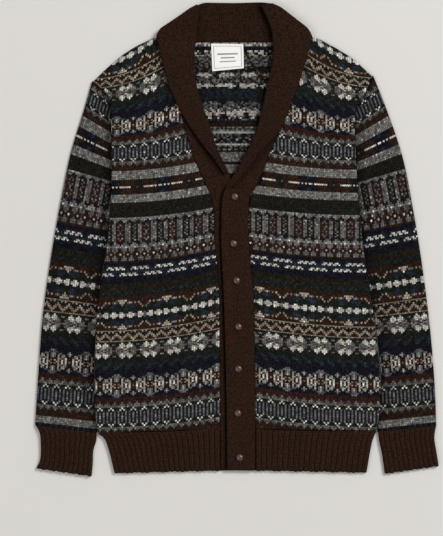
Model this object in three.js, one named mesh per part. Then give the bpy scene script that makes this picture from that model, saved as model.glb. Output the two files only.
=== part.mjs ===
import * as THREE from "three";

// Units are mm. The cardigan lies face up on z = 0.
// +X is the wearer's left, +Y goes to the collar, +Z faces the eye.

// Cloth sizes
const WALL = 3; // knitted wall
const GAP = 0.3; // clearance at seams and between layers
const LIFT = 1.5; // rise of an upper layer between its seams
const RAMP = 30; // width over which that rise comes in from an edge
const LOWER = WALL + GAP; // underside of the second layer
const THIRD = 2 * LOWER; // underside of the third layer
const SEAM_GAP = 0.4; // half of the plan gap between two pieces
const SLEEVE_CLEAR = 1.8; // plan gap from the armhole and side seam to the sleeve
const STAND_CLEAR = 1.4; // collar's stand ends this far inside its seam line

// Usual width and length of a piece, for clearances and edges
const BACK_SIZE = [440, 640];
const FRONT_SIZE = [190, 640];
const SLEEVE_SIZE = [100, 400];
const BAND_UNDER_SIZE = [44, 480];
const BAND_TOP_SIZE = [47, 463];

// Steps of each mesh, across and along a piece
const BACK_ACROSS = 24;
const FRONT_ACROSS = 12;
const SLEEVE_ACROSS = 7;
const SLEEVE_ALONG = 20;
const HEM_BACK_ACROSS = 16;
const HEM_BACK_ALONG = 4;
const BAND_ACROSS = 3;
const BAND_ALONG = 24;
const CURVE_STEPS = 400;
const HALVINGS = 30;

// Ribs of hem and cuffs
const RIB_PITCH = 9.2;
const RIB_RAISE = 0.9;
const CUFF_RIBS = 10;
const CUFF_LIFT = 0.4; // room inside a cuff, above its lower wall
const RIB_RAMP = 0.125; // share of a rib's length over which it rises
const RIB_ROWS = [0, 0.14, 1]; // places along a rib
const RIB_SHARES = [0.2, 0.5, 0.8, 1]; // places across a rib

// Rounded side of a tube, in shares of half its height. Columns: distance from the edge, height
const TUBE_OUTSIDE = [
  [0.3, 0.4],
  [0, 1],
  [0.3, 1.6],
];
const TUBE_INSIDE = [
  [0.8, 0.97],
  [0.7, 1],
  [0.8, 1.03],
];

// Folded strip
const FOLD_CORNER = 0.7; // corner of a fold, in shares of its radius
const FOLD_UNDER = [0, 0.33, 0.67]; // places from the seam to the fold, underneath
const FALL_OVER = [0.6, 0.15]; // places from the fall's outer edge to the fold, on top
const FALL_ROUND = 0.3; // share of the wall that is cut off the fall's edge
const FOLD_INSIDE = 0.5; // place of the inner walls' middle points
const LOOP_POINTS = 18;
// Outer points of a folded strip's end where its cap moves on to the next inner point
const CAP_MOVES = [false, true, true, false, true, false, true, true, false, true, false];

// Top band: where it steps down to the body, in shares of its width
const STEP_START = 0.86;
const STEP_WIDTH = 0.12;
const STEP_COLUMNS = [0, 0.25, 0.5, 0.75, 0.86, 0.92, 0.98, 1];

// Buttons and label
const BUTTON_RADIUS = 5.8;
const BUTTON_HEIGHT = 4.2;
const BUTTON_SIDES = 16;
const LABEL_THICK = 0.6;
// Columns: share of the radius, share of the height
const BUTTON_PROFILE = [
  [0, 0],
  [0.94, 0],
  [1, 0.18],
  [0.95, 0.45],
  [0.72, 0.78],
  [0.38, 0.96],
  [0, 1],
];

// Body, hem to shoulder: the side seam, then the armhole. Columns: right x, y, left x, y
const SIDE = [
  [-229, -320, 229, -316],
  [-234, -291, 235, -286],
  [-235, -233, 236, -241],
  [-234, -184, 232, -184],
  [-229, -101, 221, -101],
  [-221, -52, 213, -52],
  [-214, -5, 206, -2],
  [-210, 39, 201, 52],
  [-207, 100, 197, 113],
  [-208, 193, 194, 189],
  [-212, 234, 197, 217],
  [-226, 249, 211, 240],
  [-237, 259, 222, 268],
];

// Shoulder, armhole to neck. Columns: right x, y, left x, y
const SHOULDER = [
  [-237, 259, 222, 268],
  [-210, 285, 188, 298],
  [-177, 311, 154, 319],
  [-134, 331, 125, 332],
];

// Front edge seam, hem to neck. Columns: right x, y, left x, y
const EDGE = [
  [-28, -312, 30, -312],
  [-29, -184, 29, -184],
  [-30, -90, 27, -90],
  [-34, -35, 22, -35],
  [-38, 0, 19, 4],
  [-39, 44, 19, 47],
  [-45, 74, 25, 75],
  [-55, 94, 38, 97],
  [-62, 112, 44, 115],
  [-70, 129, 52, 138],
  [-81, 161, 65, 165],
  [-89, 193, 74, 189],
  [-94, 221, 81, 216],
  [-107, 259, 97, 259],
  [-117, 292, 108, 292],
  [-134, 331, 125, 332],
];

// Back neck, right to left. Columns: x, y
const BACK_NECK = [
  [-134, 331],
  [-104, 327],
  [-66, 326],
  [-5, 326],
  [56, 326],
  [94, 327],
  [125, 332],
];

// Sleeve, armhole to cuff. Columns: outer x, y, inner x, y
const SLEEVE = {
  right: [
    [-237, 261, -211, 36],
    [-253, 211, -211, 28],
    [-274, 142, -212, 14],
    [-290, 66, -215, -12],
    [-309, -43, -225, -75],
    [-321, -132, -232, -142],
    [-328, -225, -235.5, -233],
    [-333, -306, -230, -319],
  ],
  left: [
    [224, 271, 202, 47],
    [244, 219, 203, 37],
    [272, 137, 204, 21],
    [289, 54, 207, -7],
    [305, -45, 217, -76],
    [319, -159, 229, -151],
    [326, -250, 237, -241],
    [328, -307, 230, -317],
  ],
};

// Cuff, sleeve to wrist. Columns: outer x, y, inner x, y
const CUFF = {
  right: [
    [-333, -306.5, -231.8, -319.5],
    [-326, -319, -232, -331],
    [-324, -334, -237, -349],
    [-325, -365, -238, -370],
    [-331, -378, -240, -391],
  ],
  left: [
    [328, -307.5, 231.8, -317.5],
    [325, -327, 234, -334],
    [328, -349, 238, -352],
    [331, -367, 241, -372],
    [332, -374, 243, -387],
  ],
};

// Sides of the hem rib, body to edge. Columns: right x, y, left x, y
const HEM = [
  [-229, -321, 229, -317],
  [-219, -329, 223, -332],
  [-211, -350, 219, -350],
  [-206, -370, 216, -368],
  [-202, -386, 213, -385],
];
const HEM_GAP = 0.5; // the hem starts this far below the body
// Lower edge of the body, right to left between the side seams. Columns: x, y
const HEM_TOP = [
  [-120, -317],
  [0, -313],
  [120, -316],
];
// Lower edge of the hem rib, right to left. Columns: x, y
const HEM_END = [
  [-110, -384],
  [0, -381],
  [110, -383],
];

// Folded sides of the collar, from the V up to the back corner.
// Columns: seam x, y, fold x, y, outer edge x, y, underside z
const COLLAR = {
  right: [
    [-57, 100, -13, 106, -19, 103, 3.3],
    [-70, 129, -23, 127, -37, 129, 3.3],
    [-81, 161, -34, 151, -58, 155, 3.3],
    [-89, 193, -46, 189, -81, 188, 3.3],
    [-94, 221, -56, 216, -97, 216, 3.6],
    [-107, 259, -66, 249, -113, 252, 4.2],
    [-117, 292, -70, 278, -122, 285, 5.2],
    [-126, 314, -70, 303, -129, 312, 6.2],
    [-133, 330, -68, 324, -133, 332, 6.6],
    [-127, 344, -66.5, 338, -127, 345, 6.6],
    [-114, 353, -66, 349, -114, 354, 6.6],
    [-94, 367, -65, 361, -94, 367.5, 6.6],
    [-78, 378, -62, 373, -78, 379, 6.6],
    [-68, 384, -58, 381, -67, 385, 6.6],
  ],
  left: [
    [29, 83, -20, 84, -12, 83, 6.6],
    [44, 115, 0, 115, 21, 119, 6.0],
    [52, 138, 10, 135, 39, 144, 4.6],
    [65, 165, 23, 158, 60, 165, 3.6],
    [74, 189, 33, 183, 76, 188, 3.3],
    [81, 216, 39, 209, 85, 212, 3.6],
    [97, 259, 50, 257, 103, 259, 4.2],
    [108, 292, 56, 285, 113, 292, 5.2],
    [117, 314, 59, 306, 119, 315, 6.2],
    [124, 331, 58, 324, 122, 334, 6.6],
    [118, 344, 57, 336, 115, 347, 6.6],
    [105, 354, 54, 348, 105, 355, 6.6],
    [87, 368, 49, 361, 87, 369, 6.6],
    [70, 380, 43, 374, 71, 381, 6.6],
    [58, 386.5, 38, 383, 58, 387, 6.6],
  ],
};

// Collar behind the neck, right to left. Columns: x, stand's seam y, fold y
const COLLAR_BACK = [
  [-117, 327, 347],
  [-101, 325, 359],
  [-84, 324, 373.5],
  [-66, 323.5, 385],
  [-51, 323.5, 389],
  [-5, 323.5, 388.5],
  [38, 323.5, 389.5],
  [56, 323.5, 387.8],
  [74, 325, 378],
  [94, 326, 359],
  [110, 328, 347],
];
const FALL_CLEAR = 7; // hidden fall of the back collar ends this far above the stand's seam

// Under band, V to hem. Columns: seam x, y, free edge x, y
const BAND_UNDER = [
  [-56.5, 98, -13, 104],
  [-45, 74, 1, 64],
  [-39, 44, 5, 44],
  [-38, 0, 6, 4],
  [-34, -35, 10, -35],
  [-30, -90, 14, -90],
  [-29, -184, 15, -184],
  [-28, -312, 16, -312],
  [-28, -380, 16, -380.5],
];

// Top band, V to hem. Columns: free edge x, y, seam x, y
const BAND_TOP = [
  [-20, 81, 27.5, 81],
  [-25, 67, 20.5, 67],
  [-26.5, 46, 19, 46],
  [-27, 4, 19, 4],
  [-26, -27, 21, -27],
  [-23, -90, 27, -90],
  [-20, -184, 29, -184],
  [-18, -284, 30, -284],
  [-17, -381, 30, -382],
];

// Button centres. Columns: x, y
const BUTTONS = [
  [-4, 69],
  [-6, -8],
  [-1, -69],
  [2, -145],
  [2, -214],
  [1, -287],
  [4, -360],
];

// Label corners, clockwise from the picture's top left. Columns: x, y
const LABEL = [
  [-43, 321.5],
  [10, 320.5],
  [11, 281],
  [-41, 276],
];

// Soft troughs of the upper layers. Columns: from x, y, to x, y, half width, depth
const TROUGHS = [
  [-205, 120, -120, 60, 16, 1.2],
  [-200, -40, -110, -90, 20, 1.0],
  [-215, -210, -120, -250, 18, 0.9],
  [190, 130, 110, 70, 16, 1.2],
  [205, -60, 120, -100, 20, 1.0],
  [225, -220, 130, -255, 18, 0.9],
  [-292, 30, -235, -10, 14, 1.2],
  [-310, -120, -250, -160, 16, 1.0],
  [290, 40, 232, -5, 14, 1.2],
  [312, -130, 250, -170, 16, 1.0],
];

const clamp01 = (v) => Math.min(1, Math.max(0, v));
const smooth = (v) => {
  const u = clamp01(v);
  return u * u * (3 - 2 * u);
};
const lerp = (a, b, t) => a + (b - a) * t;

// A smooth curve through two columns of a table, by share of its length.
function curve(rows, cx, cy) {
  const points = rows.map((r) => new THREE.Vector3(r[cx], r[cy], 0));
  const line = new THREE.CatmullRomCurve3(points, false, "centripetal");
  line.arcLengthDivisions = CURVE_STEPS;
  const at = (t) => {
    const p = line.getPointAt(clamp01(t));
    return [p.x, p.y];
  };
  // Shares of its length at the table's rows, with steps between them
  at.shares = (steps) => {
    const lengths = line.getLengths(steps * (rows.length - 1));
    line.needsUpdate = true;
    return lengths.map((v) => v / lengths[lengths.length - 1]);
  };
  return at;
}

// Where a curve that climbs reaches a height, as a share of its length.
function shareAt(line, y) {
  let [low, high] = [0, 1];
  for (let i = 0; i < HALVINGS; i++) {
    const middle = (low + high) / 2;
    if (line(middle)[1] < y) low = middle;
    else high = middle;
  }
  return low;
}

const straight = (a, b) => (t) => [lerp(a[0], b[0], t), lerp(a[1], b[1], t)];

// A patch between four edges: s runs across, t runs up.
function patch(bottom, top, left, right) {
  const [p00, p10, p01, p11] = [bottom(0), bottom(1), top(0), top(1)];
  return (s, t) =>
    [0, 1].map((k) => {
      const across = lerp(bottom(s)[k], top(s)[k], t);
      const up = lerp(left(t)[k], right(t)[k], s);
      const corners = lerp(lerp(p00[k], p10[k], s), lerp(p01[k], p11[k], s), t);
      return across + up - corners;
    });
}

// The same patch drawn in by the seam's gap from its edges.
function inset(map, [width, height]) {
  const a = SEAM_GAP / width;
  const b = SEAM_GAP / height;
  return (s, t) => map(lerp(a, 1 - a, s), lerp(b, 1 - b, t));
}

function troughs(x, y) {
  let sum = 0;
  for (const [x0, y0, x1, y1, half, depth] of TROUGHS) {
    const dx = x1 - x0;
    const dy = y1 - y0;
    const along = clamp01(((x - x0) * dx + (y - y0) * dy) / (dx * dx + dy * dy));
    const away = Math.hypot(x - x0 - along * dx, y - y0 - along * dy);
    sum += depth * Math.exp(-((away / half) ** 2));
  }
  return sum;
}

// Rise of an upper layer: nothing at its edges, LIFT less the troughs inside.
function rise(x, y, fromEdge) {
  return smooth(fromEdge / RAMP) * Math.max(0.1, LIFT - troughs(x, y));
}

const evenly = (n) => Array.from({ length: n + 1 }, (_, i) => i / n);

// Closes a surface from loops of points that are stacked along a piece.
function loftLoops(loops) {
  const n = loops[0].length;
  const positions = loops.flat(2);
  const index = [];
  for (let r = 0; r + 1 < loops.length; r++)
    for (let k = 0; k < n; k++) {
      const a = r * n + k;
      const b = r * n + ((k + 1) % n);
      index.push(a, b, b + n, a, b + n, a + n);
    }
  return { n, positions, index };
}

function finish(data, flip) {
  const geometry = new THREE.BufferGeometry();
  geometry.setAttribute("position", new THREE.Float32BufferAttribute(data.positions, 3));
  const index = [];
  for (let i = 0; i < data.index.length; i += 3) {
    const [a, b, c] = data.index.slice(i, i + 3);
    index.push(...(flip ? [a, c, b] : [a, b, c]));
  }
  geometry.setIndex(index);
  geometry.computeVertexNormals();
  return geometry;
}

// A sheet over a patch: its loops go along the underside and back over the top.
function sheet(map, across, up, under, over, flip) {
  const m = across.length;
  const loops = up.map((t) => {
    const low = across.map((s) => {
      const [x, y] = map(s, t);
      return [x, y, under(x, y, s, t)];
    });
    const high = across.map((s) => {
      const [x, y] = map(s, t);
      return [x, y, over(x, y, s, t)];
    });
    return [...low, ...high.reverse()];
  });
  const data = loftLoops(loops);
  for (const r of [0, loops.length - 1])
    for (let k = 0; k + 1 < m; k++) {
      const a = r * data.n + k;
      const b = a + 1;
      const c = r * data.n + (data.n - 2 - k);
      const d = c + 1;
      data.index.push(...(r === 0 ? [a, c, b, a, d, c] : [a, b, c, a, c, d]));
    }
  return finish(data, flip);
}

// A flattened tube over a patch, open at both ends.
function tube(map, across, up, under, flip, raise = () => 0) {
  const half = WALL + GAP / 2;
  const loops = { outer: [], inner: [] };
  for (const t of up) {
    const [x0, y0] = map(0, t);
    const [x1, y1] = map(1, t);
    const width = Math.hypot(x1 - x0, y1 - y0);
    const place = (dist, z) => [...map(clamp01(dist / width), t), z];
    const at = (s, height) => {
      const [x, y] = map(lerp(half, width - half, s) / width, t);
      return [x, y, height(x, y, s)];
    };
    const around = (bottom, top, side) => [
      ...across.map((s) => at(s, bottom)),
      ...side.map(([dist, z]) => place(width - half * dist, half * z)),
      ...across.map((s) => at(1 - s, top)),
      ...[...side].reverse().map(([dist, z]) => place(half * dist, half * z)),
    ];
    const floor = (x, y, s) => under(x, y, s, t);
    const roof = (x, y, s) => floor(x, y, s) + WALL + raise(s, t);
    loops.outer.push(around(() => 0, roof, TUBE_OUTSIDE));
    loops.inner.push(around(() => WALL, floor, TUBE_INSIDE));
  }
  const data = loftLoops(loops.outer);
  const inside = loftLoops(loops.inner);
  const shift = data.positions.length / 3;
  data.positions.push(...inside.positions);
  for (let i = 0; i < inside.index.length; i += 3) {
    const [a, b, c] = inside.index.slice(i, i + 3).map((v) => v + shift);
    data.index.push(a, c, b);
  }
  const n = data.n;
  for (const r of [0, up.length - 1])
    for (let k = 0; k < n; k++) {
      const a = r * n + k;
      const b = r * n + ((k + 1) % n);
      const [c, d] = [a + shift, b + shift];
      data.index.push(...(r === 0 ? [a, c, b, b, c, d] : [a, b, c, b, d, c]));
    }
  return finish(data, flip);
}

// A strip folded back over itself: the stand below, the fall above, a round fold between.
function folded(rows, flip) {
  const tall = 2 * WALL + GAP;
  const nose = tall / 2;
  const loops = [];
  for (const row of rows) {
    const [ax, ay, fx, fy, ex, ey, z] = row;
    const away = Math.hypot(fx - ax, fy - ay);
    const out = [(fx - ax) / away, (fy - ay) / away];
    const [sx, sy] = [ax + out[0] * STAND_CLEAR, ay + out[1] * STAND_CLEAR];
    const fold = (dist, height) => [
      fx + out[0] * (dist - nose),
      fy + out[1] * (dist - nose),
      z + nose + height,
    ];
    const between = (x, y, k, height) => {
      const [px, py] = fold(0, 0);
      return [lerp(x, px, k), lerp(y, py, k), z + height];
    };
    const corner = nose * FOLD_CORNER;
    loops.push([
      ...FOLD_UNDER.map((k) => between(sx, sy, k, 0)),
      fold(0, -nose),
      fold(corner, -corner),
      fold(nose, 0),
      fold(corner, corner),
      fold(0, nose),
      ...FALL_OVER.map((k) => between(ex, ey, k, tall)),
      between(ex, ey, 0, tall - WALL * FALL_ROUND),
      between(ex, ey, 0, WALL + GAP),
      between(ex, ey, FOLD_INSIDE, WALL + GAP),
      fold(0, GAP / 2),
      fold(GAP, 0),
      fold(0, -GAP / 2),
      between(sx, sy, FOLD_INSIDE, WALL),
      between(sx, sy, 0, WALL),
    ]);
  }
  return capLoops(loops, flip);
}

// Ends of a folded strip: the outer points of the loop join its inner ones, layer by layer.
function capLoops(loops, flip) {
  const data = loftLoops(loops);
  const n = data.n;
  const pairs = [];
  let inner = LOOP_POINTS - 1;
  CAP_MOVES.forEach((moves, outer) => {
    pairs.push([outer, inner]);
    if (moves) {
      inner -= 1;
      pairs.push([outer, inner]);
    }
  });
  for (const r of [0, loops.length - 1])
    for (let k = 0; k + 1 < pairs.length; k++) {
      const [a, b] = pairs[k];
      const [c, d] = pairs[k + 1];
      const face = a === c ? [a, b, d] : [a, b, c];
      const [p, q, w] = face.map((v) => v + r * n);
      data.index.push(...(r === 0 ? [p, q, w] : [p, w, q]));
    }
  return finish(data, flip);
}

const root = new THREE.Group();
root.name = "shawl_collar_cardigan";

const colours = {
  knit: 0x3b3936,
  rib: 0x2f1d15,
  button: 0x4a332c,
  label: 0xe8e6e2,
};

function add(name, geometry, slot) {
  const material = new THREE.MeshStandardMaterial({ color: colours[slot], roughness: 0.9 });
  material.name = slot;
  const mesh = new THREE.Mesh(geometry, material);
  mesh.name = name;
  root.add(mesh);
}

// Columns of the two-sided tables for each side of the wearer
const SIDES = { right: [0, 1], left: [2, 3] };

// Body pieces
const sideOf = { right: curve(SIDE, 0, 1), left: curve(SIDE, 2, 3) };
const edgeOf = { right: curve(EDGE, 0, 1), left: curve(EDGE, 2, 3) };
const first = (rows, side) => SIDES[side].map((c) => rows[0][c]);
const last = (rows, side) => SIDES[side].map((c) => rows[rows.length - 1][c]);

const backTop = curve(
  [
    ...SHOULDER.map((r) => [r[0], r[1]]),
    ...BACK_NECK.slice(1, -1),
    ...SHOULDER.map((r) => [r[2], r[3]]).reverse(),
  ],
  0,
  1,
);
const leftShares = sideOf.left.shares(2);
const backRows = sideOf.right.shares(2).map((v, i) => lerp(v, leftShares[i], 0.5));
const backHem = curve([first(SIDE, "right"), ...HEM_TOP, first(SIDE, "left")], 0, 1);
add(
  "back",
  sheet(
    inset(patch(backHem, backTop, sideOf.right, sideOf.left), BACK_SIZE),
    evenly(BACK_ACROSS),
    backRows,
    () => 0,
    () => WALL,
    true,
  ),
  "knit",
);

function nearestEdge(s, t, [width, height]) {
  return Math.min(s * width, (1 - s) * width, t * height, (1 - t) * height);
}

// Middle points of the tables that run across, for each side of the wearer
const MIDDLE = { right: 0, left: 2 };

for (const side of ["right", "left"]) {
  const hem = curve([first(SIDE, side), HEM_TOP[MIDDLE[side]], first(EDGE, side)], 0, 1);
  const [cx, cy] = SIDES[side];
  const shoulder = curve(SHOULDER, cx, cy);
  const map = inset(patch(hem, shoulder, sideOf[side], edgeOf[side]), FRONT_SIZE);
  const under = (x, y, s, t) => LOWER + rise(x, y, nearestEdge(s, t, FRONT_SIZE));
  const over = (x, y, s, t) => under(x, y, s, t) + WALL;
  const rows = sideOf[side].shares(2);
  add("front_" + side, sheet(map, evenly(FRONT_ACROSS), rows, under, over, side === "right"), "knit");
}

// Sleeves
for (const side of ["right", "left"]) {
  const rows = SLEEVE[side];
  const clear = side === "right" ? -SLEEVE_CLEAR : SLEEVE_CLEAR;
  const underarm = shareAt(sideOf[side], rows[0][3]);
  const head = (t) => {
    const [x, y] = sideOf[side](lerp(1, underarm, t));
    return [x + clear, y];
  };
  const outer = curve([head(0), ...rows.slice(1).map((r) => [r[0], r[1]])], 0, 1);
  const inner = curve([head(1), ...rows.slice(1).map((r) => [r[2] + clear, r[3]])], 0, 1);
  const wrist = straight(outer(1), inner(1));
  const map = patch(head, wrist, outer, inner);
  const under = (x, y, s, t) => LOWER + rise(x, y, nearestEdge(s, t, SLEEVE_SIZE));
  const loops = tube(map, evenly(SLEEVE_ACROSS), evenly(SLEEVE_ALONG), under, side === "left");
  add("sleeve_" + side, loops, "knit");
}

// Ribs across a piece: three points to a rib, so that it stands between two valleys
function ribColumns(count) {
  const shares = [0];
  for (let i = 0; i < count; i++) shares.push(...RIB_SHARES.map((share) => (i + share) / count));
  return shares;
}
function ribHeight(s, t, count) {
  return RIB_RAISE * (0.5 - 0.5 * Math.cos(2 * Math.PI * s * count)) * smooth(t / RIB_RAMP);
}

// Hem ribs
const hemSide = { right: curve(HEM, 0, 1), left: curve(HEM, 2, 3) };
const hemTop = HEM_TOP.map(([x, y]) => [x, y - HEM_GAP]);
const hemStart = curve([first(HEM, "right"), ...hemTop, first(HEM, "left")], 0, 1);
const hemEnd = curve([last(HEM, "right"), ...HEM_END, last(HEM, "left")], 0, 1);
const hemMap = patch(hemStart, hemEnd, hemSide.right, hemSide.left);
add(
  "hem_back",
  sheet(hemMap, evenly(HEM_BACK_ACROSS), evenly(HEM_BACK_ALONG), () => 0, () => WALL, false),
  "rib",
);
const hemRibs = Math.round(FRONT_SIZE[0] / RIB_PITCH);
for (const side of ["right", "left"]) {
  const sign = side === "right" ? -1 : 1;
  const seamX = first(EDGE, side)[0] + sign * SEAM_GAP;
  const start = curve([first(HEM, side), hemTop[MIDDLE[side]], [seamX, hemTop[1][1]]], 0, 1);
  const end = curve([last(HEM, side), HEM_END[MIDDLE[side]], [seamX, HEM_END[1][1]]], 0, 1);
  const map = patch(start, end, hemSide[side], straight(start(1), end(1)));
  const over = (x, y, s, t) => LOWER + WALL + ribHeight(s, t, hemRibs);
  add("hem_" + side, sheet(map, ribColumns(hemRibs), RIB_ROWS, () => LOWER, over, side === "left"), "rib");
}

// Cuffs
for (const side of ["right", "left"]) {
  const rows = CUFF[side];
  const outer = curve(rows, 0, 1);
  const inner = curve(rows, 2, 3);
  const map = patch(straight(outer(0), inner(0)), straight(outer(1), inner(1)), outer, inner);
  const raise = (s, t) => ribHeight(s, t, CUFF_RIBS);
  const loops = tube(map, ribColumns(CUFF_RIBS), RIB_ROWS, () => LOWER + CUFF_LIFT, side === "left", raise);
  add("cuff_" + side, loops, "rib");
}

// Bands
const underSeam = curve(BAND_UNDER, 0, 1);
const underFree = curve(BAND_UNDER, 2, 3);
const underTop = straight(underSeam(0), underFree(0));
const underEnd = straight(underSeam(1), underFree(1));
const underMap = inset(patch(underTop, underEnd, underSeam, underFree), BAND_UNDER_SIZE);
add(
  "band_right",
  sheet(underMap, evenly(BAND_ACROSS), evenly(BAND_ALONG), () => LOWER, () => LOWER + WALL, false),
  "rib",
);
const topFree = curve(BAND_TOP, 0, 1);
const topSeam = curve(BAND_TOP, 2, 3);
const topTop = straight(topFree(0), topSeam(0));
const topEnd = straight(topFree(1), topSeam(1));
const topMap = inset(patch(topTop, topEnd, topFree, topSeam), BAND_TOP_SIZE);
const topUnder = (x, y, s) => lerp(THIRD, LOWER, smooth((s - STEP_START) / STEP_WIDTH));
const topOver = (x, y, s) => topUnder(x, y, s) + WALL;
add("band_left", sheet(topMap, STEP_COLUMNS, evenly(BAND_ALONG), topUnder, topOver, false), "rib");

// Collar
add("collar_right", folded(COLLAR.right, true), "rib");
add("collar_left", folded(COLLAR.left, false), "rib");
// Behind the neck the fall lies below and the stand above it.
const behind = COLLAR_BACK.map(([x, seam, fold]) => [x, seam + FALL_CLEAR, x, fold, x, seam, 0]);
add("collar_back", folded(behind, false), "rib");

// Buttons
BUTTONS.forEach(([x, y], i) => {
  const profile = BUTTON_PROFILE.map(([r, z]) => new THREE.Vector2(r * BUTTON_RADIUS, z * BUTTON_HEIGHT));
  const geometry = new THREE.LatheGeometry(profile, BUTTON_SIDES);
  geometry.rotateX(Math.PI / 2);
  geometry.translate(x, y, THIRD + WALL + GAP);
  add("button_" + (i + 1), geometry, "button");
});

// Label
{
  const [a, b, c, d] = LABEL;
  const map = patch(straight(d, c), straight(a, b), straight(d, a), straight(c, b));
  const low = WALL + GAP;
  add("label", sheet(map, evenly(2), evenly(2), () => low, () => low + LABEL_THICK, true), "label");
}

export default root;
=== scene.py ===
import math
import random
import bpy
import bmesh
import numpy as np
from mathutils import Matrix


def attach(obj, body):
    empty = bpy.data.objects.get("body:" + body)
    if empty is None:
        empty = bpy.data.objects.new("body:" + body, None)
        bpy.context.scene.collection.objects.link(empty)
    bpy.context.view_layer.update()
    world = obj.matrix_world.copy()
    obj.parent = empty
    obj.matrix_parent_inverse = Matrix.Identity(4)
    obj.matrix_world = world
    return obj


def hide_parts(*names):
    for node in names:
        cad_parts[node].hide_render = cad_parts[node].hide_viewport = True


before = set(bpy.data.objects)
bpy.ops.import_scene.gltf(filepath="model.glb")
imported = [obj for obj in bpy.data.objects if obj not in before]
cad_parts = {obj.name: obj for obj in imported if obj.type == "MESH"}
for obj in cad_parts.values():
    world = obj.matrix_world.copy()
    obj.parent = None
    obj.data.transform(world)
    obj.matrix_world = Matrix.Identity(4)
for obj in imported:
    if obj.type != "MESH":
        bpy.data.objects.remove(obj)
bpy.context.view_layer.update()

# Sizes in mm, in the frame of the solids; turned into metres when a mesh is made
MM = 0.001
# A layer of cloth, the gap between two, and where the second and the third layer start
WALL = 3.0
GAP = 0.3
LOWER = WALL + GAP
THIRD = 2 * LOWER
# How high loose cloth stands off, at least how high, and how far from an edge it takes to rise
LIFT = 1.5
LEAST_RISE = 0.1
RAMP = 30.0
STITCH = 3.05
ROW = 2.72
SLEEVE_CLEAR = 0.3
COLLAR_CLEAR = 0.5
BAND_WIDTH = 46.0
BAND_LENGTH = 480.0
BAND_STITCH = 2.3
BAND_ROW = 2.0
PIECE_CLEAR = 0.15
# How deep a piece's flat underside sinks into the cloth it lies on
SINK = 0.05
# How much less an edge is rounded where it meets a rib
SEAM_FLAT = 4.0
# Radii of the edges, and how far an edge drops as a share of its radius
EDGE_ROUND = 3.2
BAND_ROUND = 2.4
RIB_ROUND = 2.2
COLLAR_ROUND = 3.4
EDGE_DROP = 0.6
# In metres and square metres: how close points are merged, and the smallest face kept
WELD = 2e-6
SLIVER = 2e-8

# Body, hem to shoulder: side seam, then armhole. Columns: right x, y, left x, y
SIDE = [
    (-229, -320, 229, -316),
    (-234, -291, 235, -286),
    (-235, -233, 236, -241),
    (-234, -184, 232, -184),
    (-229, -101, 221, -101),
    (-221, -52, 213, -52),
    (-214, -5, 206, -2),
    (-210, 39, 201, 52),
    (-207, 100, 197, 113),
    (-208, 193, 194, 189),
    (-212, 234, 197, 217),
    (-226, 249, 211, 240),
    (-237, 259, 222, 268),
]
# Shoulder, armhole to neck. Columns: right x, y, left x, y
SHOULDER = [
    (-237, 259, 222, 268),
    (-210, 285, 188, 298),
    (-177, 311, 154, 319),
    (-134, 331, 125, 332),
]
# Lower edge of the body, and the seam of the neck. Columns: x, y
BODY_END = [(-229, -320), (-120, -317), (0, -313), (120, -316), (229, -316)]
NECK = [(-104, 327), (-66, 326), (-5, 326), (56, 326), (94, 327)]
# Front edge seam, hem to neck. Columns: right x, y, left x, y
EDGE = [
    (-28, -312, 30, -312),
    (-29, -184, 29, -184),
    (-30, -90, 27, -90),
    (-34, -35, 22, -35),
    (-38, 0, 19, 4),
    (-39, 44, 19, 47),
    (-45, 74, 25, 75),
    (-55, 94, 38, 97),
    (-62, 112, 44, 115),
    (-70, 129, 52, 138),
    (-81, 161, 65, 165),
    (-89, 193, 74, 189),
    (-94, 221, 81, 216),
    (-107, 259, 97, 259),
    (-117, 292, 108, 292),
    (-134, 331, 125, 332),
]
# Outer edge of the sleeve, shoulder to cuff. Columns: right x, y, left x, y
SLEEVE_OUTER = [
    (-239, 260, 224, 269),
    (-253, 211, 244, 219),
    (-274, 142, 272, 137),
    (-290, 66, 289, 54),
    (-309, -43, 305, -45),
    (-321, -132, 319, -159),
    (-328, -225, 326, -250),
    (-333, -306, 328, -307),
]
# Inner edge of the sleeve below the arm. Columns: right x, y, left x, y
SLEEVE_INNER = [
    (-211, 36, 202, 47),
    (-212, 14, 204, 21),
    (-215, -12, 207, -7),
    (-225, -75, 217, -76),
    (-232, -142, 229, -151),
    (-235.5, -233, 237, -241),
    (-230, -319, 230, -317),
]
# Cuff, sleeve to wrist. Columns: outer x, y, inner x, y
CUFF = {
    "right": [
        (-333, -306.5, -231.8, -319.5),
        (-326, -319, -232, -331),
        (-324, -334, -237, -349),
        (-325, -365, -238, -370),
        (-331, -378, -240, -391),
    ],
    "left": [
        (328, -307.5, 231.8, -317.5),
        (325, -327, 234, -334),
        (328, -349, 238, -352),
        (331, -367, 241, -372),
        (332, -374, 243, -387),
    ],
}
# Sides of the hem rib, body to edge. Columns: right x, y, left x, y
HEM = [
    (-229, -321, 229, -317),
    (-219, -329, 223, -332),
    (-211, -350, 219, -350),
    (-206, -370, 216, -368),
    (-202, -386, 213, -385),
]
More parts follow.
